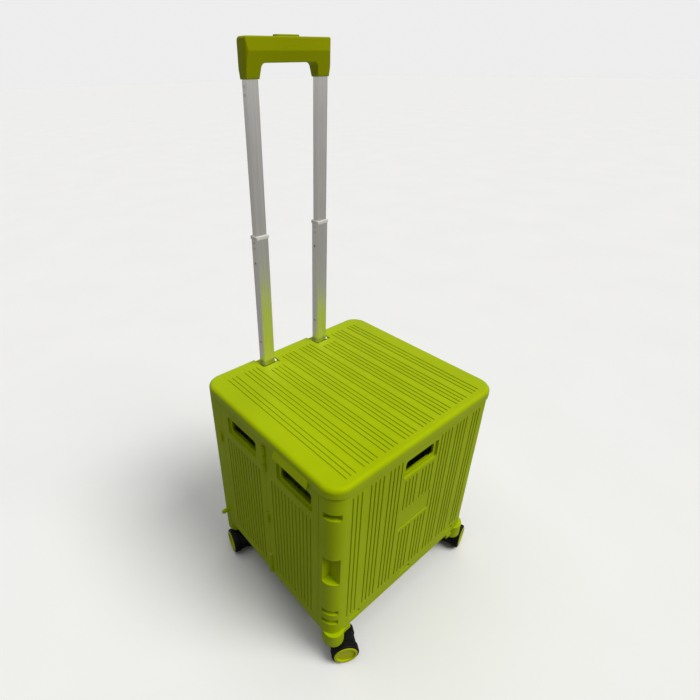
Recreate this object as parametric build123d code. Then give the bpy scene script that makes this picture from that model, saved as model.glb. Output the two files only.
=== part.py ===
"""Folding crate trolley: lid, bi-fold sides, flip-up floor, telescopic handle and four twin-wheel casters.

Millimetres, +Z up, +Y from the front panel towards the handle, +X to the right of somebody facing
the front panel from behind the handle. Heights are counted from the ground.
"""
import os

from build123d import *

# ---- crate, overall ----
lid_width = 400.0
lid_depth = 362.0
lid_corner_radius = 32.0
lid_rim_height = 18.0
lid_plate = 3.0
lid_rim_wall = 3.0
lid_edge_round = 8.0
lid_inner_chamfer = 2.0
side_overhang = 4.0
front_overhang = 3.0
rear_overhang = 16.0
body_height = 363.7
lid_seat_gap = 0.3
lid_side_gap = 0.8
lid_front_gap = 2.6
panel_top_step = 2.3
leaf_slot_depth = 2.6
leaf_slot_drop = 3.0

# ---- casters ----
wheel_radius = 26.0
wheel_width = 14.0
tyre_depth = 3.8
tyre_edge = 2.4
caster_trail = 19.0
fork_half_width = 8.5
wheel_side_gap = 0.7
hub_proud = 1.4
hub_dish_depth = 2.6
hub_dish_radius = 18.0
hub_web_inset = 0.2
axle_radius = 3.0
axle_end_cover = 4.5
fender_radius = 24.0
fork_head_radius = 8.5
fork_head_depth = 10.0
fork_top_gap = 1.0
stem_radius = 5.5
stem_length = 42.0
stem_flange_radius = 12.0
stem_flange_thickness = 2.0
head_gap = 3.0
socket_radius = 20.0
socket_height = 31.5
socket_overlap = 2.0
socket_side_reach = 177.0
socket_front_reach = 164.0
socket_rear_reach = 158.0
socket_block_height = 20.0
ledge_thickness = 9.5
ledge_reach = 12.0
ledge_half_depth = 12.0
caster_turn = {
    "front_left": -28.75,
    "front_right": 17.46,
    "rear_left": -102.1,
    "rear_right": 151.25,
}

# ---- folding walls ----
leaf_thickness = 14.0
front_wall = 12.0
post_radius = 25.0
post_depth_front = 34.0
post_depth_rear = 32.0
seam_gap = 0.6
knuckle_radius = 5.0
pin_to_seam = knuckle_radius
knuckle_gap = 0.4
knuckle_relief = 0.6
corner_leaf_knuckle = 12.0
corner_lug = 14.0
corner_hinge_shares = (0.126, 0.487, 0.844)
lug_arm_thickness = 5.0
lug_arm_root = 10.0
mid_knuckle_radius = 4.5
mid_pin_offset = 0.4
mid_hinge_bands = ((0.003, 3), (0.412, 2), (0.77, 3))
mid_knuckle_length = 17.0
mid_short_knuckle = 11.0
mid_knuckle_gap = 1.4
pin_radius = 2.0
running_gap = 0.05
open_pivot_gap = 0.3

# ---- hand holes and recesses ----
hand_hole_corner = 6.0
hand_hole_border = 7.0
hand_hole_recess = 4.0
hand_hole_skin = 3.0
hand_hole_relief = 5.0
leaf_hole_width = 75.0
leaf_hole_height = 25.0
leaf_hole_below_lid = 61.0
rear_leaf_hole_offset = -1.0
front_leaf_hole_offset = -10.0
front_hole_width = 71.0
front_hole_height = 25.0
front_hole_below_lid = 57.0
label_width = 82.0
label_height = 46.0
label_below_lid = 180.0
label_depth = 1.0
post_slot_from_side = 17.5
post_slot_from_front = 25.0
post_filler_width = 9.0
post_filler_reach = 31.0
post_slots = ((60.0, 13.0), (190.0, 64.0), (303.0, 12.0), (331.0, 12.0))
vent_width = 26.0
vent_height = 8.0
vent_depth = 5.0
vent_above_bottom = 14.0
vent_places = (-139.0, 0.0, 139.0)

# ---- grooves and inside pockets ----
groove_pitch = 9.2
groove_width = 2.2
wall_groove_width = 3.0
groove_depth = 1.4
lid_groove_groups = ((22.0, 4), (67.5, 4), (113.0, 4), (154.0, 3))
lid_groove_front = -166.0
lid_groove_back = 152.0
lid_groove_short_back = 127.0
front_groove_groups = ((64.5, 4), (107.5, 4), (150.0, 3))
front_groove_middle = (21.5, 4)
front_groove_drop = (32.0, 337.0)
middle_groove_rows = ((84.0, 156.0), (211.0, 337.0))
leaf_groove_count = 12
leaf_groove_drop = (98.0, 345.0)
wall_skin = 3.5
pocket_rib = 4.0
pocket_bottom = 24.0
front_pocket_columns = 5
rear_pocket_columns = 5
pocket_rows = 5
front_pocket_top_drop = 84.0
wall_pocket_half_width = 150.0
leaf_pocket_margin = 14.0
leaf_pocket_columns = 2

# ---- rear panel ----
rear_wall_inset = 24.0
rear_wall = 8.0
rear_post_width = 30.0
housing_half_width = 18.0
housing_rear_reach = 171.0
housing_below_lid = 18.0
housing_foot = 6.0
notch_filler_gap = 1.0
notch_filler_below_lid = 7.0
peg_radius = 4.5
peg_length = 11.0
peg_height = 116.0
peg_from_back = 8.0
catch_width = 8.0
catch_height = 20.0
catch_proud = 3.0
catch_below_lid = 112.0
floor_ear_width = 8.0
floor_ear_gap = 1.0

# ---- floor ----
floor_thickness = 11.0
floor_under_leaf = 0.6
floor_half_width = 154.5
floor_front_edge = -158.0
floor_rib_depth = 7.0
floor_rib_width = 4.0
floor_rib_count = 6
floor_to_leaf_gap = 0.8
floor_to_ledge_gap = 0.3

# ---- handle ----
tube_spread = 68.0
tube_line = 157.0
outer_tube = (28.0, 21.0)
lower_tube = (24.5, 17.5)
upper_tube = (21.0, 14.0)
outer_tube_wall = 1.5
lower_tube_wall = 1.3
upper_tube_wall = 1.3
tube_corner = 2.0
pocket_gap = 0.2
tube_slide_gap = 0.45
lower_stage_show = 253.0
lower_stage_length = 322.0
upper_stage_show = 234.0
upper_stage_length = 300.0
collar_proud = 1.0
collar_height = 5.0
collar_lip = 2.0
outer_tube_bottom = 100.0
outer_tube_top_drop = 20.0
notch_half_width = 19.0
notch_front = 141.0
plug_insert = 22.0
plug_foot = 4.0
plug_gap = 0.15
rivet_head_radius = 2.2
rivet_head_height = 0.25
rivet_pitch = 11.0
rivet_drop = 9.0
lock_hole_drops = (9.0, 19.0, 46.0, 205.0)
lock_hole_radius = 1.8

# ---- grip ----
grip_half_length = 80.8
grip_top_half_length = 80.0
grip_leg_foot = (22.8, 15.8)
grip_height = 53.0
grip_arch_height = 20.0
grip_arch_half_width = 53.0
grip_arch_corner = 7.0
grip_crease_drop = 18.0
grip_crease_depth = 27.0
grip_top_front = 10.5
grip_top_back = 7.5
grip_edge_round = 2.2
grip_end_round = 4.0
grip_plan_corner = 7.0
tube_in_grip = 24.0
cavity_half_length = 73.5
cavity_depth = 15.0
cavity_low = 23.0
cavity_high = 45.0
button_length = 46.0
button_width = 11.0
button_proud = 2.5
button_offset = -1.0
button_travel = 4.0
button_gap = 0.3
button_flange = 2.0
button_edge_round = 1.0
button_corner = 5.0
link_height = 6.0
link_width = 8.0
link_seat = 14.0
push_rod_radius = 2.0
push_rod_bottom_gap = 6.0

# ---- lid tongue ----
tongue_length = 83.0
tongue_centre = -83.5
tongue_drop = 9.0
tongue_rise = 5.0
tongue_inside = 1.8
tongue_proud_top = 0.8
tongue_proud = 5.8
tongue_edge_round = 1.6

# ---- places that follow from the sizes above ----
socket_bottom = 2 * wheel_radius + head_gap
body_bottom = socket_bottom + socket_height - socket_overlap
body_top = body_bottom + body_height
plate_bottom = body_top + lid_seat_gap
lid_top = plate_bottom + lid_plate
rim_bottom = lid_top - lid_rim_height
half_width = lid_width / 2 - side_overhang
inner_half_width = half_width - leaf_thickness
front_face = -lid_depth / 2 + front_overhang
rear_face = lid_depth / 2 - rear_overhang
front_seam = front_face + post_depth_front
rear_seam = rear_face - post_depth_rear
front_pin_y = front_seam + pin_to_seam
rear_pin_y = rear_seam - pin_to_seam
mid_pin_y = (front_pin_y + rear_pin_y) / 2
mid_pin_x = half_width + mid_pin_offset
rear_wall_front = rear_face - rear_wall_inset
floor_top = body_bottom - floor_under_leaf
floor_bottom = floor_top - floor_thickness
floor_pin_z = (floor_top + floor_bottom) / 2
floor_pin_y = rear_pin_y + floor_to_leaf_gap + floor_thickness / 2
ledge_top = floor_bottom - floor_to_ledge_gap
hub_height = wheel_radius
lower_stage_top = lid_top + lower_stage_show
upper_stage_top = lower_stage_top + upper_stage_show + tube_in_grip
grip_bottom = lower_stage_top + upper_stage_show
grip_top = grip_bottom + grip_height
caster_places = {
    "front_left": (-socket_side_reach, -socket_front_reach),
    "front_right": (socket_side_reach, -socket_front_reach),
    "rear_left": (-socket_side_reach, socket_rear_reach),
    "rear_right": (socket_side_reach, socket_rear_reach),
}
sides = {"left": -1, "right": 1}
facing_y = Rot(90, 0, 0)
facing_x = Rot(0, 0, 90) * Rot(90, 0, 0)


def block(x_span, y_span, z_span):
    """A box between two values along each axis."""
    spans = (x_span, y_span, z_span)
    sizes = [high - low for low, high in spans]
    middles = [(high + low) / 2 for low, high in spans]
    return Pos(*middles) * Box(*sizes)


def post(x, y, z_low, z_high, radius):
    """An upright round bar between two heights."""
    return Pos(x, y, (z_low + z_high) / 2) * Cylinder(radius, z_high - z_low)


def cross_bar(x_low, x_high, y, z, radius):
    """A round bar lying along X."""
    return Pos((x_low + x_high) / 2, y, z) * Rot(0, 90, 0) * Cylinder(radius, x_high - x_low)


def upright(sketch, z_low, z_high):
    """A plan outline raised between two heights."""
    return Pos(0, 0, z_low) * extrude(sketch, z_high - z_low)


def rounded_window(width, height, corner, depth_span):
    """A rounded rectangular prism that looks along Y, centred on X and Z."""
    outline = RectangleRounded(width, height, corner)
    near, far = depth_span
    return Pos(0, far, 0) * facing_y * extrude(outline, far - near)


def side_window(width, height, corner, depth_span):
    """The same prism looking along X."""
    near, far = depth_span
    outline = RectangleRounded(width, height, corner)
    return Pos(near, 0, 0) * facing_x * extrude(outline, far - near)


def lid_hollow_outline(gap):
    """Plan outline of the inside of the lid rim, drawn in by a gap."""
    width = lid_width - 2 * lid_rim_wall - 2 * gap
    depth = lid_depth - 2 * lid_rim_wall - 2 * gap
    return RectangleRounded(width, depth, lid_corner_radius - lid_rim_wall - gap)


def step_under_lid(solid, rim_gap):
    """Steps the top of a wall in, so that the lid rim and its inside corner slip over it."""
    bands = {
        (rim_bottom - lid_rim_wall, lid_top): rim_gap,
        (body_top - panel_top_step, lid_top): rim_gap + panel_top_step,
    }
    for band, gap in bands.items():
        around = upright(Rectangle(2 * lid_width, 2 * lid_depth), *band)
        solid -= around - upright(lid_hollow_outline(gap), *band)
    return solid


def hinge_bands(shares, outer_length, inner_length):
    """Height bands of a corner hinge: lug in the middle, a leaf knuckle above and below."""
    bands = []
    for share in shares:
        middle = body_bottom + share * body_height
        lug = (middle - inner_length / 2, middle + inner_length / 2)
        lower = (lug[0] - knuckle_gap - outer_length, lug[0] - knuckle_gap)
        upper = (lug[1] + knuckle_gap, lug[1] + knuckle_gap + outer_length)
        bands.append((lower, lug, upper))
    return bands


corner_bands = hinge_bands(corner_hinge_shares, corner_leaf_knuckle, corner_lug)


def mid_bands():
    """Height bands of the mid hinge: the rear leaf takes the even knuckles of each group."""
    groups = []
    for start, count in mid_hinge_bands:
        length = mid_knuckle_length if count > 2 else mid_short_knuckle
        low = body_bottom + start * body_height
        group = []
        for index in range(count):
            knuckle_low = low + index * (length + mid_knuckle_gap)
            group.append((knuckle_low, knuckle_low + length))
        groups.append(group)
    return groups


def corner_lugs(pin_y, toward):
    """Left-hand lugs that carry a corner pin. toward is +1 when the post lies behind the pin."""
    lugs = []
    pin_x = -inner_half_width
    for _, (low, high), _ in corner_bands:
        eye = post(pin_x, pin_y, low, high, knuckle_radius)
        reach = sorted((pin_y, pin_y + toward * (pin_to_seam + lug_arm_root)))
        arm = block((pin_x, pin_x + lug_arm_thickness), reach, (low, high))
        lugs.append(eye + arm)
    return lugs


def corner_pins(pin_y):
    """Left-hand pins, one through each corner hinge."""
    pins = []
    for (low, _), _, (_, high) in corner_bands:
        pins.append(post(-inner_half_width, pin_y, low, high, pin_radius))
    return pins


def leaf(is_rear, corner_gap):
    """One left-hand side leaf with its corner knuckles, mid knuckles and hand hole."""
    if is_rear:
        y_span = (mid_pin_y + seam_gap / 2, rear_seam - seam_gap)
        pin_y = rear_pin_y
        offset = rear_leaf_hole_offset
    else:
        y_span = (front_seam + seam_gap, mid_pin_y - seam_gap / 2)
        pin_y = front_pin_y
        offset = front_leaf_hole_offset
    panel = block((-half_width, -inner_half_width), y_span, (body_bottom, body_top))
    panel -= block((-half_width - 1, -half_width + leaf_slot_depth), y_span,
                   (rim_bottom - leaf_slot_drop, body_top + 1))
    pin_x = -inner_half_width
    for lower, lug, upper in corner_bands:
        for low, high in (lower, upper):
            panel += post(pin_x, pin_y, low, high, knuckle_radius)
        relief = (lug[0] - knuckle_gap, lug[1] + knuckle_gap)
        panel -= post(pin_x, pin_y, *relief, knuckle_radius + knuckle_relief)
        bore = (lower[0], upper[1])
        panel -= post(pin_x, pin_y, *bore, pin_radius + corner_gap)
    for group in mid_bands():
        for index, (low, high) in enumerate(group):
            own = (index % 2 == 0) == is_rear
            if own:
                panel += post(-mid_pin_x, mid_pin_y, low, high, mid_knuckle_radius)
            else:
                relief = (low - mid_knuckle_gap, high + mid_knuckle_gap)
                panel -= post(-mid_pin_x, mid_pin_y, *relief, mid_knuckle_radius + knuckle_relief)
        bore = (group[0][0], group[-1][1])
        panel -= post(-mid_pin_x, mid_pin_y, *bore, pin_radius + running_gap)
    hole_y = sum(y_span) / 2 + offset
    hole_z = lid_top - leaf_hole_below_lid
    through = side_window(leaf_hole_width, leaf_hole_height, hand_hole_corner,
                          (-half_width - hand_hole_border, -inner_half_width + hand_hole_border))
    recess = side_window(leaf_hole_width + 2 * hand_hole_border, leaf_hole_height + 2 * hand_hole_border,
                         hand_hole_corner, (-half_width - hand_hole_border, -half_width + hand_hole_recess))
    relief = side_window(leaf_hole_width + 2 * hand_hole_relief, leaf_hole_height + 2 * hand_hole_relief,
                         hand_hole_corner, (-half_width + hand_hole_recess + hand_hole_skin,
                                            -inner_half_width + hand_hole_border))
    panel -= Pos(0, hole_y, hole_z) * through
    panel -= Pos(0, hole_y, hole_z) * recess
    panel -= Pos(0, hole_y, hole_z) * relief
    along = (y_span[0] + leaf_pocket_margin, y_span[1] - leaf_pocket_margin)
    up = (body_bottom + leaf_pocket_margin, lid_top - leaf_groove_drop[0])
    cells = pocket_grid(along, up, leaf_pocket_columns, pocket_rows)
    panel -= [block((-half_width + wall_skin, -inner_half_width), *cell) for cell in cells]
    return panel - leaf_grooves(y_span)


def socket(place, z_top):
    """A caster socket with its stem bore, and the ledge that holds a corner of the floor."""
    x, y = place
    inward_x = -1 if x > 0 else 1
    body = post(x, y, socket_bottom, z_top, socket_radius)
    ledge_x = sorted((x, x + inward_x * (socket_radius + ledge_reach)))
    ledge_y = (y - ledge_half_depth, y + ledge_half_depth)
    body += block(ledge_x, ledge_y, (ledge_top - ledge_thickness, ledge_top))
    return body


def stem_bore(place):
    """The blind bore that a caster stem turns in."""
    x, y = place
    top = socket_bottom + stem_length + head_gap
    return post(x, y, socket_bottom - head_gap, top, stem_radius + running_gap)


def pocket_grid(along, up, columns, rows):
    """Spans of a grid of pockets with ribs between them: a list of (along, up) pairs."""
    width = (along[1] - along[0] + pocket_rib) / columns
    height = (up[1] - up[0] + pocket_rib) / rows
    cells = []
    for column in range(columns):
        for row in range(rows):
            low_along = along[0] + column * width
            low_up = up[0] + row * height
            cells.append(((low_along, low_along + width - pocket_rib),
                          (low_up, low_up + height - pocket_rib)))
    return cells


def wall_pockets(y_low, y_high, columns):
    """Pockets in the inner side of the front or rear wall."""
    along = (-wall_pocket_half_width, wall_pocket_half_width)
    up = (body_bottom + pocket_bottom, lid_top - front_pocket_top_drop)
    cells = pocket_grid(along, up, columns, pocket_rows)
    return [block(x_span, (y_low, y_high), z_span) for x_span, z_span in cells]


def groove_positions(groups):
    """Centre lines of grooves, mirrored about the middle, from (group centre, count) pairs."""
    lines = []
    for centre, count in groups:
        for index in range(count):
            line = centre + (index - (count - 1) / 2) * groove_pitch
            lines.extend((line, -line))
    return lines


def wall_groove(x, drops):
    """An upright round-ended groove in the front face."""
    length = drops[1] - drops[0]
    middle_z = lid_top - (drops[0] + drops[1]) / 2
    outline = RectangleRounded(wall_groove_width, length, wall_groove_width / 2.01)
    return Pos(x, front_face + groove_depth, middle_z) * facing_y * extrude(outline, groove_depth + 1)


def front_grooves():
    """All grooves of the front face; the middle groups stop above and below the label recess."""
    cutters = [wall_groove(x, front_groove_drop) for x in groove_positions(front_groove_groups)]
    for drops in middle_groove_rows:
        cutters.extend(wall_groove(x, drops) for x in groove_positions((front_groove_middle,)))
    return cutters


def lid_grooves():
    """Grooves along the lid top; the groups ahead of the tube notches stop short."""
    cutters = []
    for group in lid_groove_groups:
        short = abs(group[0] - tube_spread) < notch_half_width
        back = lid_groove_short_back if short else lid_groove_back
        length = back - lid_groove_front
        middle_y = (back + lid_groove_front) / 2
        for x in groove_positions((group,)):
            outline = Pos(x, middle_y) * RectangleRounded(groove_width, length, groove_width / 2.01)
            cutters.append(upright(outline, lid_top - groove_depth, lid_top + 1))
    return cutters


def leaf_grooves(y_span):
    """Evenly pitched upright grooves in the outer face of a left-hand leaf."""
    cutters = []
    middle_y = sum(y_span) / 2
    length = leaf_groove_drop[1] - leaf_groove_drop[0]
    middle_z = lid_top - sum(leaf_groove_drop) / 2
    for index in range(leaf_groove_count):
        y = middle_y + (index - (leaf_groove_count - 1) / 2) * groove_pitch
        outline = RectangleRounded(wall_groove_width, length, wall_groove_width / 2.01)
        cutters.append(Pos(-half_width - 1, y, middle_z) * facing_x * extrude(outline, groove_depth + 1))
    return cutters


def front_panel():
    """Front wall, its two round corner posts, hand hole, label recess and caster sockets."""
    depth = front_seam - front_face
    outline = Pos(0, (front_seam + front_face) / 2) * Rectangle(2 * half_width, depth)
    outline = fillet(outline.vertices().group_by(Axis.Y)[0], post_radius)
    hollow_depth = depth - front_wall
    hollow = Pos(0, front_seam - hollow_depth / 2) * Rectangle(2 * inner_half_width, hollow_depth)
    hollow = fillet(hollow.vertices().group_by(Axis.Y)[0], post_radius - leaf_thickness)
    shell = step_under_lid(upright(outline, body_bottom, body_top), lid_front_gap)
    shell -= upright(hollow, body_bottom, body_top)
    shell -= wall_pockets(front_face + wall_skin, front_face + front_wall, front_pocket_columns)
    block_top = body_bottom + socket_block_height
    for x_sign in sides.values():
        x_span = sorted((x_sign * (inner_half_width - post_filler_width), x_sign * inner_half_width))
        y_span = (front_face + front_wall, front_face + post_filler_reach)
        shell += block(x_span, y_span, (body_bottom, rim_bottom - lid_rim_wall))
        place = (x_sign * socket_side_reach, -socket_front_reach)
        x_span = sorted((x_sign * (socket_side_reach - socket_radius), x_sign * inner_half_width))
        shell += block(x_span, (front_face + front_wall, front_seam), (body_bottom, block_top))
        shell += socket(place, body_bottom + socket_overlap)
        shell -= stem_bore(place)
    left_lugs = corner_lugs(front_pin_y, -1)
    for lug in left_lugs:
        shell += lug
        shell += mirror(lug, Plane.YZ)
    bottom, _, _ = corner_bands[0]
    _, _, top = corner_bands[-1]
    for x_sign in sides.values():
        gap = running_gap if x_sign < 0 else open_pivot_gap
        shell -= post(x_sign * inner_half_width, front_pin_y, bottom[0], top[1], pin_radius + gap)
    return cut_front_features(shell)


def cut_front_features(shell):
    """Hand hole, label recess, corner slots and the small vents along the bottom edge."""
    hole_z = lid_top - front_hole_below_lid
    span = (front_face - hand_hole_border, front_face + front_wall + hand_hole_border)
    shell -= Pos(0, 0, hole_z) * rounded_window(front_hole_width, front_hole_height, hand_hole_corner, span)
    span = (front_face - hand_hole_border, front_face + hand_hole_recess)
    width = front_hole_width + 2 * hand_hole_border
    height = front_hole_height + 2 * hand_hole_border
    shell -= Pos(0, 0, hole_z) * rounded_window(width, height, hand_hole_corner, span)
    span = (front_face + hand_hole_recess + hand_hole_skin, front_face + front_wall + hand_hole_border)
    width = front_hole_width + 2 * hand_hole_relief
    height = front_hole_height + 2 * hand_hole_relief
    shell -= Pos(0, 0, hole_z) * rounded_window(width, height, hand_hole_corner, span)
    label_z = lid_top - label_below_lid
    label_y = (front_face - label_depth, front_face + label_depth)
    label_x = (-label_width / 2, label_width / 2)
    shell -= block(label_x, label_y, (label_z - label_height / 2, label_z + label_height / 2))
    for drop, height in post_slots:
        for x_sign in sides.values():
            shell -= corner_slot(x_sign, lid_top - drop, height)
    vent_z = body_bottom + vent_above_bottom
    for x in vent_places:
        x_span = (x - vent_width / 2, x + vent_width / 2)
        shell -= block(x_span, (front_face - 1, front_face + vent_depth), (vent_z, vent_z + vent_height))
    return shell - front_grooves()


def corner_slot(x_sign, middle_z, height):
    """A square notch taken out of a round corner post."""
    x_span = sorted((x_sign * (half_width - post_slot_from_side), x_sign * (half_width + 1)))
    y_span = (front_face - 1, front_face + post_slot_from_front)
    return block(x_span, y_span, (middle_z - height / 2, middle_z + height / 2))


def back_panel():
    """Rear wall, corner posts, handle housings, caster sockets, hinge lugs and floor ears."""
    wall = (rear_wall_front, rear_wall_front + rear_wall)
    shell = block((-half_width, half_width), wall, (body_bottom, body_top))
    for x_sign in sides.values():
        x_span = sorted((x_sign * (half_width - rear_post_width), x_sign * half_width))
        shell += block(x_span, (rear_wall_front, rear_face), (body_bottom, body_top))
        x_span = sorted((x_sign * inner_half_width, x_sign * half_width))
        shell += block(x_span, (rear_seam, rear_face), (body_bottom, body_top))
    shell = step_under_lid(shell, lid_side_gap)
    shell -= wall_pockets(rear_wall_front, rear_wall_front + rear_wall - wall_skin, rear_pocket_columns)
    housing_top = lid_top - housing_below_lid
    housing_low = outer_tube_bottom - housing_foot
    for x_sign in sides.values():
        x = x_sign * tube_spread
        x_span = (x - housing_half_width, x + housing_half_width)
        shell += block(x_span, (rear_wall_front, housing_rear_reach), (housing_low, housing_top))
        filler_y = (notch_front + notch_filler_gap, lid_depth / 2 - notch_filler_gap)
        shell += block(x_span, filler_y, (housing_top - 1, lid_top - notch_filler_below_lid))
    for x_sign in sides.values():
        x = x_sign * tube_spread
        pocket = Pos(x, tube_line) * RectangleRounded(outer_tube[0] + 2 * pocket_gap,
                                                      outer_tube[1] + 2 * pocket_gap, tube_corner)
        shell -= upright(pocket, outer_tube_bottom, body_top + lid_plate)
    shell = add_rear_corners(shell)
    for lug in corner_lugs(rear_pin_y, 1):
        shell += lug
        shell += mirror(lug, Plane.YZ)
    bottom, _, _ = corner_bands[0]
    _, _, top = corner_bands[-1]
    for x_sign in sides.values():
        shell -= post(x_sign * inner_half_width, rear_pin_y, bottom[0], top[1], pin_radius + running_gap)
    return shell


def add_rear_corners(shell):
    """Sockets, floor hinge ears, the side pegs and the side catches."""
    for x_sign in sides.values():
        place = (x_sign * socket_side_reach, socket_rear_reach)
        shell += socket(place, body_bottom + socket_overlap)
        ear_low = floor_half_width + floor_ear_gap
        x_span = sorted((x_sign * ear_low, x_sign * (ear_low + floor_ear_width)))
        ear_y = (floor_pin_y - floor_thickness / 2, rear_wall_front + rear_wall)
        shell += block(x_span, ear_y, (floor_bottom, body_bottom + socket_overlap))
        shell -= stem_bore(place)
        peg_x = sorted((x_sign * half_width, x_sign * (half_width + peg_length)))
        shell += cross_bar(*peg_x, rear_face - peg_from_back, peg_height, peg_radius)
        tip = Pos(x_sign * (half_width + peg_length), rear_face - peg_from_back, peg_height)
        shell += tip * Sphere(peg_radius)
        catch_x = sorted((x_sign * half_width, x_sign * (half_width + catch_proud)))
        catch_y = (rear_seam + catch_width / 2, rear_seam + 1.5 * catch_width)
        catch_z = lid_top - catch_below_lid
        shell += block(catch_x, catch_y, (catch_z - catch_height / 2, catch_z + catch_height / 2))
        bore_x = sorted((x_sign * floor_half_width, x_sign * (ear_low + floor_ear_width)))
        shell -= cross_bar(*bore_x, floor_pin_y, floor_pin_z, pin_radius + running_gap)
    return shell


def floor_panel():
    """Flip-up floor with ribs underneath and a round rear edge that turns on two stub pins."""
    half = floor_thickness / 2
    slab = block((-floor_half_width, floor_half_width), (floor_front_edge, floor_pin_y),
                 (floor_bottom, floor_top))
    slab += cross_bar(-floor_half_width, floor_half_width, floor_pin_y, floor_pin_z, half)
    bay_span = (-floor_half_width + 4 * floor_rib_width, floor_half_width - 4 * floor_rib_width)
    bay_pitch = (bay_span[1] - bay_span[0] + floor_rib_width) / floor_rib_count
    bay_y = (floor_front_edge + 4 * floor_rib_width, floor_pin_y - 4 * floor_rib_width)
    for index in range(floor_rib_count):
        low = bay_span[0] + index * bay_pitch
        slab -= block((low, low + bay_pitch - floor_rib_width), bay_y,
                      (floor_bottom, floor_bottom + floor_rib_depth))
    for x_sign in sides.values():
        inner = x_sign * (floor_half_width - floor_pin_depth())
        x_span = sorted((inner, x_sign * floor_half_width))
        slab -= cross_bar(*x_span, floor_pin_y, floor_pin_z, pin_radius + running_gap)
    return slab


def floor_pin_depth():
    """How far a floor pin reaches into the floor."""
    return 2 * floor_ear_width


def floor_pins():
    """Two stub pins held in the ears of the rear panel."""
    pins = []
    for x_sign in sides.values():
        inner = x_sign * (floor_half_width - floor_pin_depth() + floor_ear_gap)
        outer = x_sign * (floor_half_width + floor_ear_gap + floor_ear_width)
        pins.append(cross_bar(*sorted((inner, outer)), floor_pin_y, floor_pin_z, pin_radius))
    return pins


def lid():
    """Lift-off lid with a bullnose rim, two tube notches and a finger tongue on the left."""
    shell = upright(RectangleRounded(lid_width, lid_depth, lid_corner_radius), rim_bottom, lid_top)
    shell = fillet(shell.edges().group_by(Axis.Z)[-1], lid_edge_round)
    hollow = upright(lid_hollow_outline(0), rim_bottom, plate_bottom)
    hollow = chamfer(hollow.edges().group_by(Axis.Z)[-1], lid_inner_chamfer)
    shell -= hollow
    for x_sign in sides.values():
        x = x_sign * tube_spread
        shell -= block((x - notch_half_width, x + notch_half_width), (notch_front, lid_depth),
                       (rim_bottom - 1, lid_top + 1))
    return shell + tongue() - lid_grooves()


def tongue():
    """Finger tongue under the left rim, leaning outwards towards its lower edge."""
    side = -lid_width / 2
    low = rim_bottom - tongue_drop
    high = rim_bottom + tongue_rise
    corners = [
        (side + tongue_inside, low),
        (side - tongue_proud, low),
        (side - tongue_proud_top, high),
        (side + tongue_inside, high),
    ]
    outline = facing_y * make_face(Polyline(*corners, close=True))
    tab = extrude(outline, tongue_length / 2, both=True)
    lower_outer = tab.edges().filter_by(Axis.Y).sort_by(Axis.X)[0]
    return Pos(0, tongue_centre, 0) * fillet(lower_outer, tongue_edge_round)


def tube(size, wall, z_low, z_high):
    """A rectangular tube with rounded corners, standing on its own centre line."""
    outer = RectangleRounded(size[0], size[1], tube_corner)
    inner = RectangleRounded(size[0] - 2 * wall, size[1] - 2 * wall, tube_corner - wall / 2)
    return upright(outer - inner, z_low, z_high)


def collar():
    """Bright collar pressed over the top of a lower tube."""
    outer = RectangleRounded(lower_tube[0] + 2 * collar_proud, lower_tube[1] + 2 * collar_proud, tube_corner)
    seat = RectangleRounded(lower_tube[0], lower_tube[1], tube_corner)
    passage = RectangleRounded(upper_tube[0] + 2 * tube_slide_gap, upper_tube[1] + 2 * tube_slide_gap,
                               tube_corner)
    top = lower_stage_top + collar_lip
    ring = upright(outer - passage, top - collar_height, top)
    return ring - upright(seat, top - collar_height, lower_stage_top)


def lock_plug():
    """Plastic plug in the foot of an upper tube."""
    inner = (upper_tube[0] - 2 * upper_tube_wall, upper_tube[1] - 2 * upper_tube_wall)
    bottom = upper_stage_top - upper_stage_length
    outline = RectangleRounded(inner[0] - 2 * plug_gap, inner[1] - 2 * plug_gap, tube_corner)
    core = upright(outline, bottom, bottom + plug_insert)
    foot = RectangleRounded(upper_tube[0], upper_tube[1], tube_corner)
    return core + upright(foot, bottom - plug_foot, bottom)


def push_rod():
    """Rod inside an upper tube, from the button link down to the lock plug."""
    bottom = upper_stage_top - upper_stage_length + plug_insert + push_rod_bottom_gap
    return post(0, 0, bottom, button_link_bottom() + link_height, push_rod_radius)


def button_link_bottom():
    """Underside of the link bar that the button pushes down."""
    return grip_bottom + cavity_low + button_travel + link_seat - link_height


def lock_holes():
    """Small holes in the left face of a lower tube: two under the collar and two lock holes."""
    outer = -lower_tube[0] / 2
    span = (outer - 1, outer + lower_tube_wall + 1)
    return [cross_bar(*span, 0, lower_stage_top - drop, lock_hole_radius) for drop in lock_hole_drops]


def rivets(stage_top, half_depth, outward):
    """Two small rivets, one above the other, in the narrow face of a tube."""
    pair = []
    for index in range(2):
        z = stage_top - rivet_drop - index * rivet_pitch
        head = cross_bar(half_depth, half_depth + rivet_head_height, 0, z, rivet_head_radius)
        pair.append(head if outward > 0 else mirror(head, Plane.YZ))
    return pair


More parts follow.
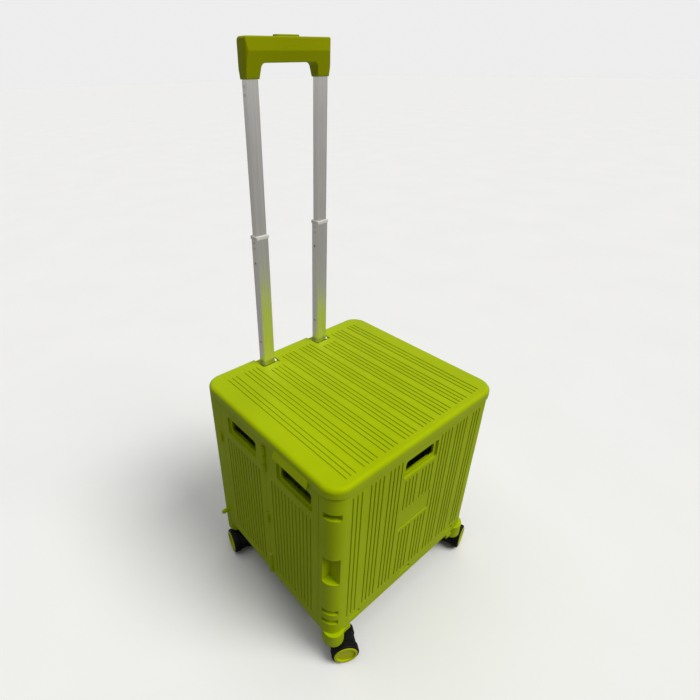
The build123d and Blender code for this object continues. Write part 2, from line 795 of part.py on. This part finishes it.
def grip_body():
    """Bridge grip: waisted bar with two tapering legs, hollow for the link bar."""
    crease_z = grip_top - grip_crease_drop
    foot_half = tube_spread + grip_leg_foot[0] / 2
    arch_top = grip_bottom + grip_arch_height
    face = Polyline([(-foot_half, grip_bottom), (foot_half, grip_bottom), (grip_half_length, crease_z),
                     (grip_top_half_length, grip_top), (-grip_top_half_length, grip_top),
                     (-grip_half_length, crease_z)], close=True)
    leg_inner = tube_spread - grip_leg_foot[0] / 2
    arch = Polyline([(-leg_inner, grip_bottom - 1), (leg_inner, grip_bottom - 1),
                     (grip_arch_half_width, arch_top), (-grip_arch_half_width, arch_top)], close=True)
    arch_face = make_face(arch)
    arch_face = fillet(arch_face.vertices().group_by(Axis.Y)[-1], grip_arch_corner)
    outline = make_face(face)
    outline = fillet(outline.vertices().group_by(Axis.Y)[-1], grip_end_round)
    front = outline - arch_face
    bar = Pos(0, grip_crease_depth, 0) * facing_y * extrude(front, 2 * grip_crease_depth)
    side = Polyline([(-grip_leg_foot[1] / 2, grip_bottom), (grip_leg_foot[1] / 2, grip_bottom),
                     (grip_crease_depth / 2, crease_z), (grip_top_back, grip_top),
                     (-grip_top_front, grip_top), (-grip_crease_depth / 2, crease_z)], close=True)
    section = make_face(side)
    section = fillet(section.vertices().group_by(Axis.Y)[-1], grip_edge_round)
    profile = Pos(-lid_width, 0, 0) * facing_x * extrude(section, 2 * lid_width)
    plan_outline = RectangleRounded(2 * grip_half_length, grip_crease_depth, grip_plan_corner)
    plan = upright(plan_outline, grip_bottom, grip_top)
    return bar & profile & plan


def grip():
    """The grip with tube sockets, link cavity and button well."""
    body = grip_body()
    low = grip_bottom + cavity_low
    high = grip_bottom + cavity_high
    cavity_x = (-cavity_half_length, cavity_half_length)
    body -= block(cavity_x, (-cavity_depth / 2, cavity_depth / 2), (low, high))
    for x_sign in sides.values():
        socket_outline = Pos(x_sign * tube_spread, 0) * RectangleRounded(
            upper_tube[0] + 2 * pocket_gap, upper_tube[1] + 2 * pocket_gap, tube_corner)
        body -= upright(socket_outline, grip_bottom, grip_bottom + tube_in_grip + pocket_gap)
    well = RectangleRounded(button_length + 2 * button_gap, button_width + 2 * button_gap, button_corner)
    body -= Pos(0, button_offset, 0) * upright(well, high, grip_top + 1)
    return body


def grip_button():
    """Push button with the stem that reaches the link bar."""
    cap = RectangleRounded(button_length, button_width, button_corner)
    cap_bottom = grip_bottom + cavity_high - button_flange
    body = upright(cap, cap_bottom, grip_top + button_proud)
    return Pos(0, button_offset, 0) * fillet(body.edges().group_by(Axis.Z)[-1], button_edge_round)


def link_bar():
    """Bar inside the grip that carries the button's push to both rods."""
    bottom = button_link_bottom()
    reach = tube_spread + push_rod_radius + 1
    bar = block((-reach, reach), (-link_width / 2, link_width / 2), (bottom, bottom + link_height))
    stem_top = grip_bottom + cavity_high - button_flange
    bar += block((-link_width, link_width), (-link_width / 2, link_width / 2), (bottom, stem_top))
    for x_sign in sides.values():
        bar -= post(x_sign * tube_spread, 0, bottom, bottom + link_height, push_rod_radius)
    return bar


def caster_stem():
    """Swivel stem with the flange that sits under the socket."""
    flange_low = socket_bottom - stem_flange_thickness - knuckle_gap / 2
    stem = post(0, 0, flange_low, socket_bottom - head_gap + stem_length, stem_radius)
    return stem + post(0, 0, flange_low, flange_low + stem_flange_thickness, stem_flange_radius)


def caster_fork():
    """Middle body between the two wheels: fender, head and axle bore. Trails along +X."""
    fork_top = socket_bottom - stem_flange_thickness - knuckle_gap / 2
    width = 2 * fork_half_width
    fender = Pos(caster_trail, 0, hub_height) * facing_y * Cylinder(fender_radius, width)
    fender -= block((-lid_width, lid_width), (-width, width), (-lid_width, hub_height - fender_radius / 2))
    head = post(0, 0, fork_top - fork_head_depth, fork_top, fork_head_radius)
    arm = block((0, caster_trail), (-fork_half_width, fork_half_width), (hub_height, fork_top - fork_top_gap))
    body = fender + head + arm
    body -= block((-lid_width, lid_width), (-lid_width, lid_width), (fork_top, lid_width))
    bore = Pos(caster_trail, 0, hub_height) * facing_y * Cylinder(axle_radius, 2 * width)
    return body - bore


def caster_axle():
    """Axle through the fork and both wheels."""
    reach = fork_half_width + wheel_side_gap + wheel_width - axle_end_cover
    return Pos(caster_trail, 0, hub_height) * facing_y * Cylinder(axle_radius, 2 * reach)


def wheel_blank(radius, inner, v_low, v_high):
    """A ring around the wheel axis between two distances from the fork's middle plane."""
    middle = (v_low + v_high) / 2
    ring = Cylinder(radius, v_high - v_low) - Cylinder(inner, v_high - v_low)
    return Pos(caster_trail, -middle, hub_height) * facing_y * ring


def tyre():
    """Tyre of the outer wheel, with broken edges."""
    inner_face = fork_half_width + wheel_side_gap
    outer_face = inner_face + wheel_width
    solid = Cylinder(wheel_radius, wheel_width)
    solid = fillet(solid.edges(), tyre_edge)
    solid -= Cylinder(wheel_radius - tyre_depth, wheel_width)
    middle = (inner_face + outer_face) / 2
    return Pos(caster_trail, -middle, hub_height) * facing_y * solid


def hub():
    """Dished hub of the outer wheel, closed over the end of the axle."""
    inner_face = fork_half_width + wheel_side_gap + hub_web_inset
    outer_face = inner_face + wheel_width + hub_proud - hub_web_inset
    radius = wheel_radius - tyre_depth
    solid = wheel_blank(radius, axle_radius + running_gap, inner_face, outer_face)
    cap_low = outer_face - axle_end_cover + hub_web_inset
    lift = Pos(caster_trail, -(cap_low + outer_face) / 2, hub_height) * facing_y
    solid += lift * Cylinder(radius, outer_face - cap_low)
    dish = Pos(caster_trail, -(outer_face - hub_dish_depth / 2), hub_height) * facing_y
    return solid - dish * Cylinder(hub_dish_radius, hub_dish_depth)


def as_node(solids):
    """Several loose solids of one node, as one compound."""
    return Compound(children=list(solids)) if len(solids) > 1 else solids[0]


def build_casters(nodes):
    """Every piece of the four casters, turned to its own rest direction."""
    outer_wheel = {"tyre": tyre(), "hub": hub()}
    for name, place in caster_places.items():
        seat = Pos(place[0], place[1], 0) * Rot(0, 0, caster_turn[name])
        nodes["caster_stem_" + name] = seat * caster_stem()
        nodes["caster_fork_" + name] = seat * caster_fork()
        nodes["caster_axle_" + name] = seat * caster_axle()
        for kind, solid in outer_wheel.items():
            nodes[kind + "_outer_" + name] = seat * solid
            nodes[kind + "_inner_" + name] = seat * mirror(solid, Plane.XZ)


def build_walls(nodes):
    """Panels, leaves, floor, lid and their hinge pins."""
    nodes["back_panel"] = back_panel()
    nodes["front_panel"] = front_panel()
    nodes["floor_panel"] = floor_panel()
    nodes["lid"] = lid()
    rear = leaf(True, running_gap)
    front = leaf(False, running_gap)
    front_open = leaf(False, open_pivot_gap)
    nodes["rear_leaf_left"] = rear
    nodes["rear_leaf_right"] = mirror(rear, Plane.YZ)
    nodes["front_leaf_left"] = front
    nodes["front_leaf_right"] = mirror(front_open, Plane.YZ)
    rear_pins = corner_pins(rear_pin_y)
    front_pins = corner_pins(front_pin_y)
    nodes["rear_hinge_pins"] = as_node(rear_pins + [mirror(pin, Plane.YZ) for pin in rear_pins])
    nodes["front_hinge_pins"] = as_node(front_pins + [mirror(pin, Plane.YZ) for pin in front_pins])
    mid_pins = [post(-mid_pin_x, mid_pin_y, group[0][0], group[-1][1], pin_radius) for group in mid_bands()]
    nodes["mid_hinge_pins_left"] = as_node(mid_pins)
    nodes["mid_hinge_pins_right"] = as_node([mirror(pin, Plane.YZ) for pin in mid_pins])
    nodes["floor_hinge_pins"] = as_node(floor_pins())


def build_handle(nodes):
    """Both telescopic stages, grip, button, link, rods, collars, plugs and rivets."""
    lower_span = (lower_stage_top - lower_stage_length, lower_stage_top)
    upper_span = (upper_stage_top - upper_stage_length, upper_stage_top)
    outer_span = (outer_tube_bottom, lid_top - outer_tube_top_drop)
    upper_rivets = []
    for side, x_sign in sides.items():
        seat = Pos(x_sign * tube_spread, tube_line, 0)
        nodes["outer_tube_" + side] = seat * tube(outer_tube, outer_tube_wall, *outer_span)
        nodes["lower_tube_" + side] = seat * (tube(lower_tube, lower_tube_wall, *lower_span) - lock_holes())
        nodes["upper_tube_" + side] = seat * tube(upper_tube, upper_tube_wall, *upper_span)
        nodes["tube_collar_" + side] = seat * collar()
        nodes["lock_plug_" + side] = seat * lock_plug()
        nodes["push_rod_" + side] = seat * push_rod()
        for head in rivets(grip_bottom, upper_tube[0] / 2, x_sign):
            upper_rivets.append(seat * head)
    nodes["upper_rivets"] = as_node(upper_rivets)
    middle = Pos(0, tube_line, 0)
    nodes["grip"] = middle * grip()
    nodes["grip_button"] = middle * grip_button()
    nodes["grip_link_bar"] = middle * link_bar()


def centring_shift(nodes):
    """The move that puts the origin under the middle of the whole trolley, on the ground."""
    boxes = [solid.bounding_box() for solid in nodes.values()]
    low = [min(getattr(box.min, axis) for box in boxes) for axis in "XYZ"]
    high = [max(getattr(box.max, axis) for box in boxes) for axis in "XY"]
    return (-(low[0] + high[0]) / 2, -(low[1] + high[1]) / 2, -low[2])


pieces = {}
build_walls(pieces)
build_handle(pieces)
build_casters(pieces)
shift = centring_shift(pieces)
os.makedirs("parts", exist_ok=True)
for node_name, piece in pieces.items():
    export_step(Pos(*shift) * piece, os.path.join("parts", node_name + ".step"))
print(len(pieces), "nodes, origin moved by", [round(value, 3) for value in shift])
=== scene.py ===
import math

import bmesh
import bpy
from mathutils import Matrix, Vector


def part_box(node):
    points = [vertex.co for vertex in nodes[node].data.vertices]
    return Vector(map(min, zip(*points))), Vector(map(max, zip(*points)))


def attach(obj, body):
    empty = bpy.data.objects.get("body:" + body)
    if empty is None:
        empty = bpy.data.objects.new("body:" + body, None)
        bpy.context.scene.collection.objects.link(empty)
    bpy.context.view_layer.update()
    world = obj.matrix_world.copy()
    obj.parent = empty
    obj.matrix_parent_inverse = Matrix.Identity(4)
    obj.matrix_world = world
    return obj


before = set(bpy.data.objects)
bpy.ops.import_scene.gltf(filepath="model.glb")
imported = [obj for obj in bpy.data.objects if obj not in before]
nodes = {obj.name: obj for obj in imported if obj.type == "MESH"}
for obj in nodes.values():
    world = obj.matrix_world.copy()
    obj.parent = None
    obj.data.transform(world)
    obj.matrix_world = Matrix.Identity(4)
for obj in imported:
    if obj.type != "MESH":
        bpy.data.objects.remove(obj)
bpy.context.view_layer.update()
mm = 0.001


def addNode(tree, kind, **values):
    node = tree.nodes.new(kind)
    for name, value in values.items():
        setattr(node, name, value)
    return node


def setInputs(node, values):
    for name, value in values.items():
        node.inputs[name].default_value = value
    return node


def mixColours(tree, mask, first, second):
    # first and second are sockets or plain colours
    mix = addNode(tree, "ShaderNodeMix", data_type="RGBA")
    tree.links.new(mask, mix.inputs[0])
    for source, socket in ((first, mix.inputs[6]), (second, mix.inputs[7])):
        if isinstance(source, bpy.types.NodeSocket):
            tree.links.new(source, socket)
        else:
            socket.default_value = (*source, 1)
    return mix.outputs[2]


def remap(tree, value, low, high, outLow, outHigh):
    node = addNode(tree, "ShaderNodeMapRange")
    setInputs(node, {"From Min": low, "From Max": high, "To Min": outLow, "To Max": outHigh})
    tree.links.new(value, node.inputs["Value"])
    return node.outputs["Result"]


def calculate(tree, operation, first, second):
    node = addNode(tree, "ShaderNodeMath", operation=operation)
    for source, socket in ((first, node.inputs[0]), (second, node.inputs[1])):
        if isinstance(source, bpy.types.NodeSocket):
            tree.links.new(source, socket)
        else:
            socket.default_value = source
    return node.outputs[0]


def noise(tree, vector, scale, detail, roughness):
    node = addNode(tree, "ShaderNodeTexNoise")
    setInputs(node, {"Scale": scale, "Detail": detail, "Roughness": roughness})
    tree.links.new(vector, node.inputs["Vector"])
    return node.outputs["Fac"]


def newGroup(name, inputs, outputs):
    group = bpy.data.node_groups.new(name, "ShaderNodeTree")
    for label, kind in inputs:
        group.interface.new_socket(name=label, in_out="INPUT", socket_type=kind)
    for label, kind in outputs:
        group.interface.new_socket(name=label, in_out="OUTPUT", socket_type=kind)
    return group, group.nodes.new("NodeGroupInput"), group.nodes.new("NodeGroupOutput")


# each noise is scale, detail and roughness, and each range is from low, from high, to low, to high
mouldedSettings = {
    "drift": (9, 3, 0.5), "blotch": (60, 4, 0.5), "grain": (1500, 2, 0.6), "bevelSamples": 6,
    "edgeTurn": (0.995, 0.90, 0.0, 1.0), "edgeHighlightPatches": (0.35, 0.7, 0.15, 0.8), "tone": (0.3, 0.7, 0.94, 1.05),
    "gloss": (0.3, 0.7, 0.9, 1.12), "bumpDistance": 0.1 * mm,
}
drawnSettings = {
    "fine": (1, 3, 0.6), "smear": (25, 3, 0.5), "tone": (0.25, 0.75, 0.86, 1.08),
    "fineGloss": (0.3, 0.7, -0.05, 0.06), "smearGloss": (0.3, 0.7, -0.03, 0.04), "bumpDistance": 0.1 * mm,
}


def makeMouldedGroup(settings):
    # fine spark-eroded grain, slow colour drift and a painted highlight: a paler colour along edges, made
    # patchy by noise
    group, source, sink = newGroup(
        "MouldedPlastic",
        [("Colour", "NodeSocketColor"), ("Edge Highlight Colour", "NodeSocketColor"),
         ("Roughness", "NodeSocketFloat"), ("Edge Radius", "NodeSocketFloat"),
         ("Grain", "NodeSocketFloat")],
        [("Colour", "NodeSocketColor"), ("Roughness", "NodeSocketFloat"), ("Normal", "NodeSocketVector")])
    links = group.links
    place = addNode(group, "ShaderNodeTexCoord").outputs["Object"]
    drift = noise(group, place, *settings["drift"])
    blotch = noise(group, place, *settings["blotch"])
    grain = noise(group, place, *settings["grain"])
    soft = addNode(group, "ShaderNodeBevel", samples=settings["bevelSamples"])
    links.new(source.outputs["Edge Radius"], soft.inputs["Radius"])
    geometry = addNode(group, "ShaderNodeNewGeometry")
    facing = addNode(group, "ShaderNodeVectorMath", operation="DOT_PRODUCT")
    links.new(soft.outputs["Normal"], facing.inputs[0])
    links.new(geometry.outputs["Normal"], facing.inputs[1])
    edge = remap(group, facing.outputs["Value"], *settings["edgeTurn"])
    # painted highlight: edges are mixed towards a paler colour, broken up by the blotch noise
    edgeHighlightMask = calculate(group, "MULTIPLY", edge, remap(group, blotch, *settings["edgeHighlightPatches"]))
    tone = addNode(group, "ShaderNodeHueSaturation")
    links.new(source.outputs["Colour"], tone.inputs["Color"])
    links.new(remap(group, drift, *settings["tone"]), tone.inputs["Value"])
    colour = mixColours(group, edgeHighlightMask, tone.outputs["Color"], source.outputs["Edge Highlight Colour"])
    links.new(colour, sink.inputs["Colour"])
    gloss = remap(group, blotch, *settings["gloss"])
    rough = calculate(group, "MULTIPLY", source.outputs["Roughness"], gloss)
    links.new(rough, sink.inputs["Roughness"])
    bump = setInputs(addNode(group, "ShaderNodeBump"), {"Distance": settings["bumpDistance"]})
    links.new(source.outputs["Grain"], bump.inputs["Strength"])
    links.new(grain, bump.inputs["Height"])
    links.new(soft.outputs["Normal"], bump.inputs["Normal"])
    links.new(bump.outputs["Normal"], sink.inputs["Normal"])
    return group


def makeDrawnGroup(settings):
    # long drawing lines up the tube, and slow smears in the gloss
    group, source, sink = newGroup(
        "DrawnMetal",
        [("Colour", "NodeSocketColor"), ("Roughness", "NodeSocketFloat"),
         ("Strength", "NodeSocketFloat"), ("Stretch", "NodeSocketVector")],
        [("Colour", "NodeSocketColor"), ("Roughness", "NodeSocketFloat"), ("Normal", "NodeSocketVector")])
    links = group.links
    place = addNode(group, "ShaderNodeTexCoord").outputs["Object"]
    stretch = addNode(group, "ShaderNodeVectorMath", operation="MULTIPLY")
    links.new(place, stretch.inputs[0])
    links.new(source.outputs["Stretch"], stretch.inputs[1])
    fine = noise(group, stretch.outputs["Vector"], *settings["fine"])
    smear = noise(group, place, *settings["smear"])
    tone = addNode(group, "ShaderNodeHueSaturation")
    links.new(source.outputs["Colour"], tone.inputs["Color"])
    links.new(remap(group, fine, *settings["tone"]), tone.inputs["Value"])
    links.new(tone.outputs["Color"], sink.inputs["Colour"])
    fineGloss = remap(group, fine, *settings["fineGloss"])
    smearGloss = remap(group, smear, *settings["smearGloss"])
    gloss = calculate(group, "ADD", fineGloss, smearGloss)
    rough = calculate(group, "ADD", source.outputs["Roughness"], gloss)
    links.new(rough, sink.inputs["Roughness"])
    bump = setInputs(addNode(group, "ShaderNodeBump"), {"Distance": settings["bumpDistance"]})
    links.new(source.outputs["Strength"], bump.inputs["Strength"])
    links.new(fine, bump.inputs["Height"])
    links.new(bump.outputs["Normal"], sink.inputs["Normal"])
    return group


mouldedGroup = makeMouldedGroup(mouldedSettings)
drawnGroup = makeDrawnGroup(drawnSettings)
print("shader groups ready")


def newMaterial(name, colour):
    material = bpy.data.materials.new(name)
    material.use_nodes = True
    material.diffuse_color = (*colour, 1)
    return material, material.node_tree, material.node_tree.nodes["Principled BSDF"]


def connectGroup(tree, group, shader, values):
    node = addNode(tree, "ShaderNodeGroup", node_tree=group)
    setInputs(node, values)
    for output, socket in (("Colour", "Base Color"), ("Roughness", "Roughness"), ("Normal", "Normal")):
        tree.links.new(node.outputs[output], shader.inputs[socket])


def mouldedMaterial(name, colour, edgeHighlightColour, roughness, edgeRadius, grain, specular, tint):
    material, tree, shader = newMaterial(name, colour)
    connectGroup(tree, mouldedGroup, shader, {
        "Colour": (*colour, 1), "Edge Highlight Colour": (*edgeHighlightColour, 1), "Roughness": roughness,
        "Edge Radius": edgeRadius, "Grain": grain})
    shader.inputs["Specular IOR Level"].default_value = specular
    shader.inputs["Specular Tint"].default_value = (*tint, 1)
    return material


def drawnMaterial(name, colour, roughness, strength, stretch, anisotropy):
    material, tree, shader = newMaterial(name, colour)
    connectGroup(tree, drawnGroup, shader, {
        "Colour": (*colour, 1), "Roughness": roughness, "Strength": strength, "Stretch": stretch})
    shader.inputs["Metallic"].default_value = 1
    shader.inputs["Anisotropic"].default_value = anisotropy
    return material


limeColour = (0.385, 0.500, 0.0004)
# paler green painted along edges as a highlight
limeEdgeHighlight = (0.52, 0.64, 0.004)
limeTint = (0.85, 1.0, 0.01)  # keeps the sheen on the green parts green
plainTint = (1, 1, 1)
mouldedFinishes = {
    "lid": {"name": "LimeLid", "colour": limeColour, "edgeHighlightColour": limeEdgeHighlight, "roughness": 0.46,
            "edgeRadius": 0.9 * mm, "grain": 0.22, "specular": 0.3, "tint": limeTint},
    "shell": {"name": "LimeShell", "colour": limeColour, "edgeHighlightColour": limeEdgeHighlight, "roughness": 0.48,
              "edgeRadius": 0.9 * mm, "grain": 0.25, "specular": 0.14, "tint": limeTint},
    "gripGreen": {"name": "LimeGrip", "colour": (0.315, 0.355, 0.0004), "edgeHighlightColour": limeEdgeHighlight,
                  "roughness": 0.46, "edgeRadius": 2.5 * mm, "grain": 0.2, "specular": 0.12,
                  "tint": limeTint},
    "hubGreen": {"name": "LimeHub", "colour": (0.50, 0.56, 0.0006), "edgeHighlightColour": limeEdgeHighlight,
                 "roughness": 0.3, "edgeRadius": 0.5 * mm, "grain": 0.08, "specular": 0.12,
                 "tint": limeTint},
    "black": {"name": "BlackPlastic", "colour": (0.004, 0.004, 0.0042),
              "edgeHighlightColour": (0.02, 0.02, 0.02), "roughness": 0.45, "edgeRadius": 0.6 * mm,
              "grain": 0.5, "specular": 0.16, "tint": plainTint},
    "tyre": {"name": "TyreBlack", "colour": (0.0045, 0.0045, 0.0045),
             "edgeHighlightColour": (0.02, 0.02, 0.019), "roughness": 0.5, "edgeRadius": 0.6 * mm,
             "grain": 0.35, "specular": 0.12, "tint": plainTint},
    "collar": {"name": "CollarWhite", "colour": (0.83, 0.83, 0.80),
               "edgeHighlightColour": (0.9, 0.9, 0.88), "roughness": 0.35, "edgeRadius": 0.4 * mm,
               "grain": 0.1, "specular": 0.3, "tint": plainTint},
}
drawnFinishes = {
    "tube": {"name": "AnodisedTube", "colour": (0.87, 0.86, 0.815), "roughness": 0.34,
             "strength": 0.25, "stretch": (900, 900, 4), "anisotropy": 0.4},
    # painted shade: the outer tubes are a dull near-black green so the notches and wall pockets around
    # them look shaded
    "paintedShadeOuterTube": {"name": "PaintedShadeOuterTube", "colour": (0.030, 0.034, 0.020), "roughness": 0.65,
                  "strength": 0.25, "stretch": (900, 900, 4), "anisotropy": 0.0},
    "pin": {"name": "BrightPin", "colour": (0.66, 0.65, 0.62), "roughness": 0.25,
            "strength": 0.1, "stretch": (300, 300, 300), "anisotropy": 0.0},
}
materials = {key: mouldedMaterial(**finish) for key, finish in mouldedFinishes.items()}
materials.update({key: drawnMaterial(**finish) for key, finish in drawnFinishes.items()})


def materialFor(name):
    if name == "lid":
        return materials["lid"]
    if "_leaf_" in name or name.endswith("_panel"):
        return materials["shell"]
    if name in ("grip", "grip_button"):
        return materials["gripGreen"]
    if name.startswith("hub_"):
        return materials["hubGreen"]
    if name.startswith("tyre_"):
        return materials["tyre"]
    if name.startswith(("caster_fork", "lock_plug")) or name == "grip_link_bar":
        return materials["black"]
    if name.startswith("tube_collar"):
        return materials["collar"]
    # outer tubes get the painted shade material
    if name.startswith("outer_tube"):
        return materials["paintedShadeOuterTube"]
    if "tube_" in name:
        return materials["tube"]
    return materials["pin"]


for name, node in nodes.items():
    material = materialFor(name)
    if not node.material_slots:
        node.data.materials.append(material)
    for slot in node.material_slots:
        slot.material = material
print("materials on", len(nodes), "pieces")

# three ribs under the lid, on both sides of each tube
ribSettings = {"fromRear": (27.5 * mm, 29.5 * mm), "drop": (2.8 * mm, 12 * mm),
               "fromTube": 19.5 * mm, "outerLength": 26 * mm}
# a strip that closes the gap behind the floor
stripSettings = {"behindFloor": (0.6 * mm, 6.6 * mm), "belowTop": (0.8 * mm, 7.5 * mm), "inset": 2 * mm}
cornerSettings = {"round": 0.4 * mm, "segments": 2}


def moulding(name, body, low, high):
    mesh = bpy.data.meshes.new(name)
    shape = bmesh.new()
    bmesh.ops.create_cube(shape, size=1)
    size = Vector(high) - Vector(low)
    bmesh.ops.scale(shape, vec=size, verts=shape.verts)
    bmesh.ops.translate(shape, vec=Vector(low) + size / 2, verts=shape.verts)
    bmesh.ops.bevel(shape, geom=shape.edges, offset=cornerSettings["round"], affect="EDGES",
                    segments=cornerSettings["segments"], profile=0.5, material=-1)
    shape.to_mesh(mesh)
    shape.free()
    piece = bpy.data.objects.new(name, mesh)
    bpy.context.scene.collection.objects.link(piece)
    mesh.materials.append(materials["shell"])
    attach(piece, body)


def makeLidRibs(settings):
    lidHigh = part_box("lid")[1]
    ySpan = (lidHigh[1] - settings["fromRear"][1], lidHigh[1] - settings["fromRear"][0])
    zSpan = (lidHigh[2] - settings["drop"][1], lidHigh[2] - settings["drop"][0])
    tubes = [sum(corner[0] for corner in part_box("lower_tube_" + side)) / 2
             for side in ("left", "right")]
    near = settings["fromTube"]
    far = near + settings["outerLength"]
    spans = {"left": (tubes[0] - far, tubes[0] - near), "middle": (tubes[0] + near, tubes[1] - near),
             "right": (tubes[1] + near, tubes[1] + far)}
    for place, xSpan in spans.items():
        low, high = zip(xSpan, ySpan, zSpan)
        moulding("lid_rear_rib_" + place, "lid", low, high)


def makeFloorStrip(settings):
    floorLow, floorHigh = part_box("floor_panel")
    yLow = floorHigh[1] + settings["behindFloor"][0]
    yHigh = floorHigh[1] + settings["behindFloor"][1]
    zLow = floorHigh[2] - settings["belowTop"][1]
    zHigh = floorHigh[2] - settings["belowTop"][0]
    inset = settings["inset"]
    low = (floorLow[0] + inset, yLow, zLow)
    high = (floorHigh[0] - inset, yHigh, zHigh)
    moulding("floor_gap_strip", "rear_frame", low, high)


makeLidRibs(ribSettings)
makeFloorStrip(stripSettings)
print("lid ribs and floor strip ready")


floorSettings = {
    "half": 30.0, "below": 0.5 * mm, "colour": (0.90, 0.90, 0.895), "bounce": (0.30, 0.30, 0.30),
    "paler": 1.02, "mottle": (3, 2, 0.5), "mottleRange": (0.3, 0.7, 0.0, 1.0),
    "specular": 0.1, "roughness": 0.8,
}


def makeFloor(settings):
    mesh = bpy.data.meshes.new("StudioFloor")
    shape = bmesh.new()
    bmesh.ops.create_grid(shape, x_segments=1, y_segments=1, size=settings["half"])
    shape.to_mesh(mesh)
    shape.free()
    floor = bpy.data.objects.new("StudioFloor", mesh)
    bpy.context.scene.collection.objects.link(floor)
    floor.location.z = -settings["below"]
    material, tree, shader = newMaterial("StudioPaper", settings["colour"])
    place = addNode(tree, "ShaderNodeTexCoord").outputs["Object"]
    tone = remap(tree, noise(tree, place, *settings["mottle"]), *settings["mottleRange"])
    paler = tuple(value * settings["paler"] for value in settings["colour"])
    seen = mixColours(tree, tone, settings["colour"], paler)
    path = addNode(tree, "ShaderNodeLightPath")
    # the paper looks pale, and throws less light back up than white paper would
    tree.links.new(mixColours(tree, path.outputs["Is Camera Ray"], settings["bounce"], seen),
                   shader.inputs["Base Color"])
    shader.inputs["Specular IOR Level"].default_value = settings["specular"]
    shader.inputs["Roughness"].default_value = settings["roughness"]
    mesh.materials.append(material)


makeFloor(floorSettings)
print("studio floor ready")


lightSettings = {
    "key": {"from": (0.9, -1.9, 2.8), "spread": 32, "strength": 2.1, "colour": (1, 0.99, 0.965)},
    "top": {"from": (-0.1, 0.3, 3.0), "spread": 60, "strength": 0.95, "colour": (1, 1, 1)},
}
worldSettings = {"seen": 0.85, "mirrored": 0.55, "ambient": 0.12}


def makeLights(settings):
    for name, values in settings.items():
        light = bpy.data.lights.new("Light_" + name, "SUN")
        light.angle = math.radians(values["spread"])
        light.energy = values["strength"]
        light.color = values["colour"]
        obj = bpy.data.objects.new("Light_" + name, light)
        bpy.context.scene.collection.objects.link(obj)
        obj.location = values["from"]
        obj.rotation_euler = (-obj.location).to_track_quat("-Z", "Y").to_euler()  # aimed at the origin


def makeWorld(settings):
    world = bpy.data.worlds.new("Studio")
    world.use_nodes = True
    tree = world.node_tree
    path = addNode(tree, "ShaderNodeLightPath")
    grey = [(settings[part],) * 3 for part in ("ambient", "mirrored", "seen")]
    soft = mixColours(tree, path.outputs["Is Glossy Ray"], grey[0], grey[1])
    tree.links.new(mixColours(tree, path.outputs["Is Camera Ray"], soft, grey[2]),
                   tree.nodes["Background"].inputs["Color"])
    bpy.context.scene.world = world


makeLights(lightSettings)
makeWorld(worldSettings)
bpy.context.scene.view_settings.view_transform = "Standard"


cameraSettings = {
    "azimuth": -38.70, "elevation": 30.82, "roll": 1.07,
    "place": (-0.5122, -0.4918, 0.9587), "lens": 24.15, "sensor": 36, "shift": (0.0704, -0.011),
    "clipStart": 0.01,
}


def makeCamera(settings):
    azimuth = math.radians(settings["azimuth"])
    elevation = math.radians(settings["elevation"])
    roll = math.radians(settings["roll"])
    outward = Vector((math.sin(azimuth) * math.cos(elevation),
                      -math.cos(azimuth) * math.cos(elevation), math.sin(elevation)))
    right = Vector((0, 0, 1)).cross(outward).normalized()
    up = outward.cross(right)
    turnedRight = right * math.cos(roll) - up * math.sin(roll)
    turnedUp = outward.cross(turnedRight)
    camera = bpy.data.cameras.new("Camera")
    camera.sensor_width = settings["sensor"]
    camera.lens = settings["lens"]
    camera.shift_x, camera.shift_y = settings["shift"]
    camera.clip_start = settings["clipStart"]
    obj = bpy.data.objects.new("Camera", camera)
    bpy.context.scene.collection.objects.link(obj)
    turn = Matrix((turnedRight, turnedUp, outward)).transposed().to_4x4()
    obj.matrix_world = Matrix.Translation(settings["place"]) @ turn
    bpy.context.scene.camera = obj


makeCamera(cameraSettings)
print("lights, world and camera ready")
